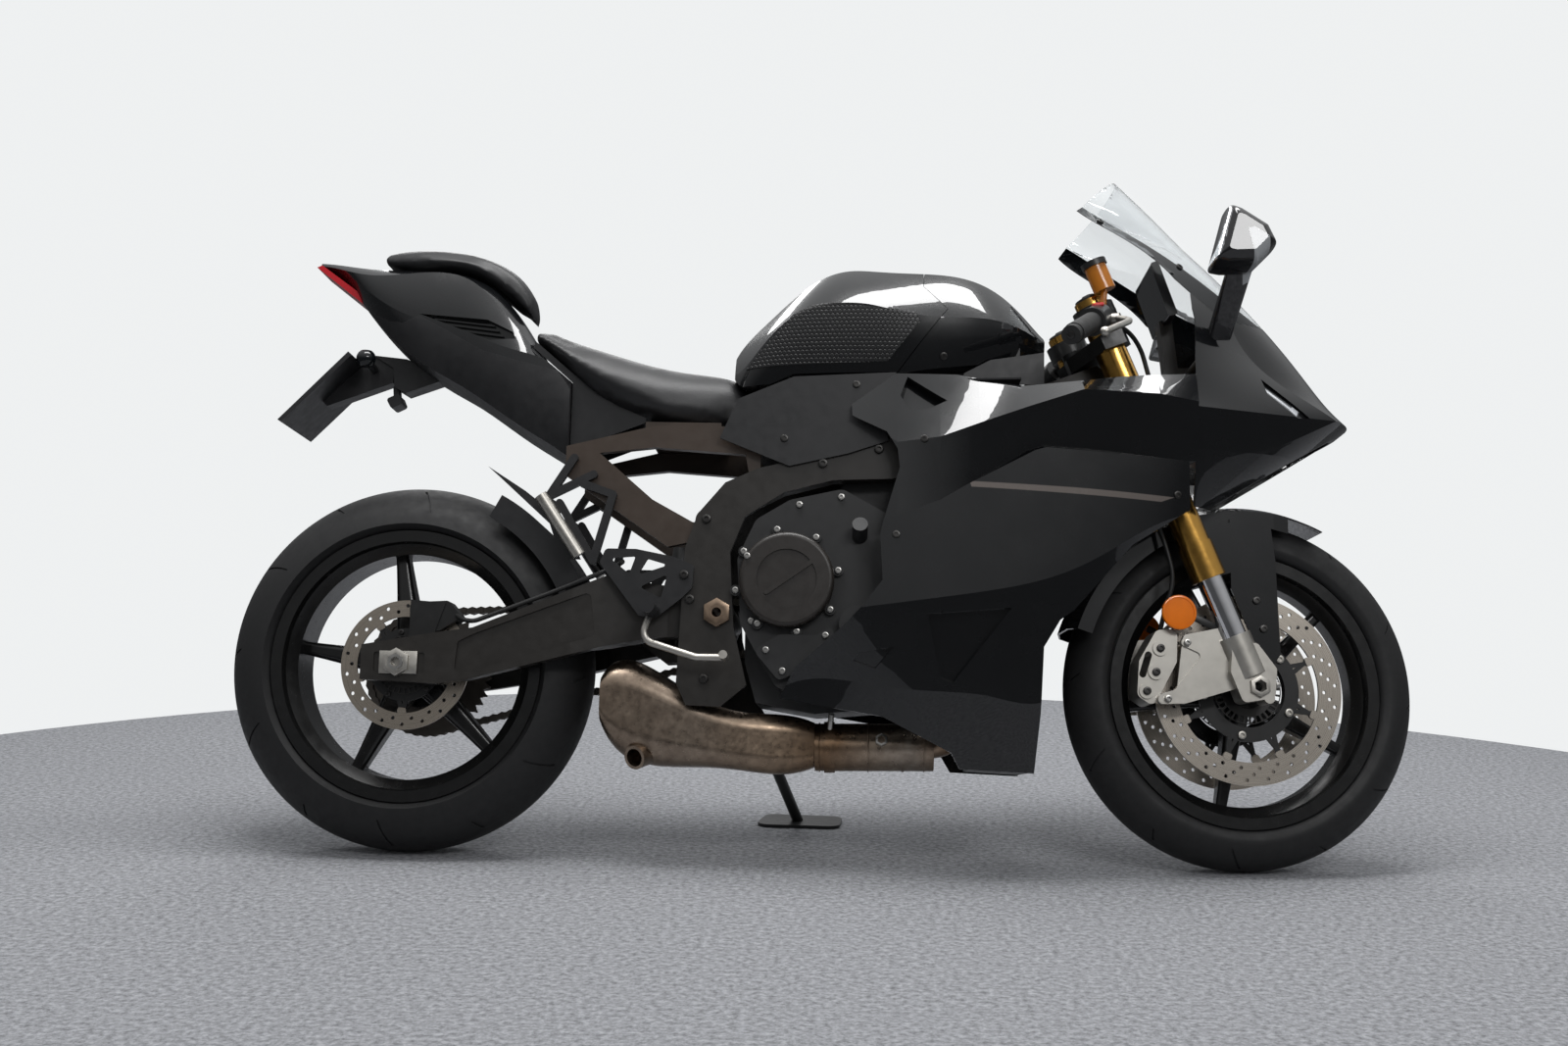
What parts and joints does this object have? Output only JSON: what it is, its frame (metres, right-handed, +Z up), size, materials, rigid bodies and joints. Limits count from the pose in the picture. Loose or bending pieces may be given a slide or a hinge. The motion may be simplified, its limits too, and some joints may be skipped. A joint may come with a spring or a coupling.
{
  "type": "sport motorcycle",
  "caption": "Faired sport motorcycle leaning on its side stand, with turning wheels, steering and folding stand.",
  "frame": {"origin": "centre of the base of the parked machine's box, on the ground", "axes": "+X forward along the bike, +Y to its left, +Z up"},
  "size_m": [2.0334, 0.7355, 1.1786],
  "materials": {
    "caliper_black": "satin",
    "casting_silver": "satin silver",
    "chain_steel": "oiled",
    "clamp_black": "satin",
    "disc_steel": "ground",
    "engine_black": "matt black",
    "exhaust_steel": "heat-tinted",
    "fork_chrome": "polished",
    "fork_gold": "gold anodised",
    "frame_black": "satin bronze-black",
    "gloss_black": "high gloss",
    "hose_black": "braided hose cover",
    "lamp_clear": "clear lens",
    "lamp_red": "red lens",
    "radiator_black": "matt black",
    "rearset_alloy": "satin",
    "reservoir_amber": "amber translucent",
    "rim_black": "gloss black",
    "satin_black": "satin",
    "screen_clear": "clear screen with dark band",
    "seat_vinyl": "grained vinyl",
    "shock_steel": "coated",
    "stand_black": "satin",
    "steel_bright": "brushed",
    "tyre_rubber": "new rubber"
  },
  "bodies": {
    "chassis": {"main_frame": "frame_black", "pivot_shaft": "steel_bright", "subframe": "frame_black", "engine_block": "engine_black", "stand_bracket": "frame_black", "airbox": "satin_black", "engine_cover_right": "engine_black", "engine_cover_left": "engine_black", "sprocket_cover": "engine_black", "front_sprocket": "steel_bright", "radiator": "radiator_black", "exhaust_headers": "exhaust_steel", "muffler": "exhaust_steel", "fuel_tank": "gloss_black", "tank_cover": "gloss_black", "side_covers": "satin_black", "rider_seat": "seat_vinyl", "pillion_seat": "seat_vinyl", "tail_fairing": "gloss_black", "tail_light": "lamp_red", "plate_holder": "satin_black", "side_fairing_right": "gloss_black", "side_fairing_left": "gloss_black", "upper_fairings": "gloss_black", "belly_pan": "satin_black", "nose_cowl": "gloss_black", "windscreen": "screen_clear", "headlamps": "lamp_clear", "mirrors": "satin_black", "dash": "satin_black", "fairing_stay": "frame_black", "swingarm": "frame_black", "shock": "shock_steel", "rear_axle": "steel_bright", "chain": "chain_steel", "hugger": "satin_black", "rear_caliper": "caliper_black", "rearsets": "rearset_alloy", "peg_hangers": "rearset_alloy", "rear_hose": "hose_black"},
    "steering": {"triple_clamps": "clamp_black", "fork_outers": "fork_gold", "fork_inners": "fork_chrome", "fork_castings": "casting_silver", "front_calipers": "casting_silver", "mudguard": "gloss_black", "handlebars": "clamp_black", "hand_levers": "casting_silver", "brake_reservoir": "reservoir_amber", "front_axle": "steel_bright", "front_hoses": "hose_black"},
    "front_wheel": {"front_rim": "rim_black", "front_discs": "disc_steel", "front_tyre": "tyre_rubber"},
    "rear_wheel": {"rear_rim": "rim_black", "rear_disc": "disc_steel", "rear_sprocket": "chain_steel", "rear_tyre": "tyre_rubber"},
    "side_stand": {"side_stand": "stand_black"}
  },
  "joints": [
    {"name": "steering", "type": "hinge", "parent": "chassis", "child": "steering", "pos_m": [0.51879, -0.04158, 0.69309], "axis": [-0.383, 0.1777, 0.9065], "range_deg": [-34.5, 21.5]},
    {"name": "front_wheel_spin", "type": "hinge", "parent": "steering", "child": "front_wheel", "pos_m": [0.71806, -0.11665, 0.29337], "axis": [-0.1048, 0.9666, -0.2338], "continuous": true},
    {"name": "rear_wheel_spin", "type": "hinge", "parent": "chassis", "child": "rear_wheel", "pos_m": [-0.70174, -0.11692, 0.31083], "axis": [-0.0003, 0.9813, -0.1925], "continuous": true},
    {"name": "stand_fold", "type": "hinge", "parent": "chassis", "child": "side_stand", "pos_m": [-0.09592, -0.01468, 0.18697], "axis": [-0.361, 0.9322, -0.0267], "range_deg": [0, 112.9]}
  ]
}
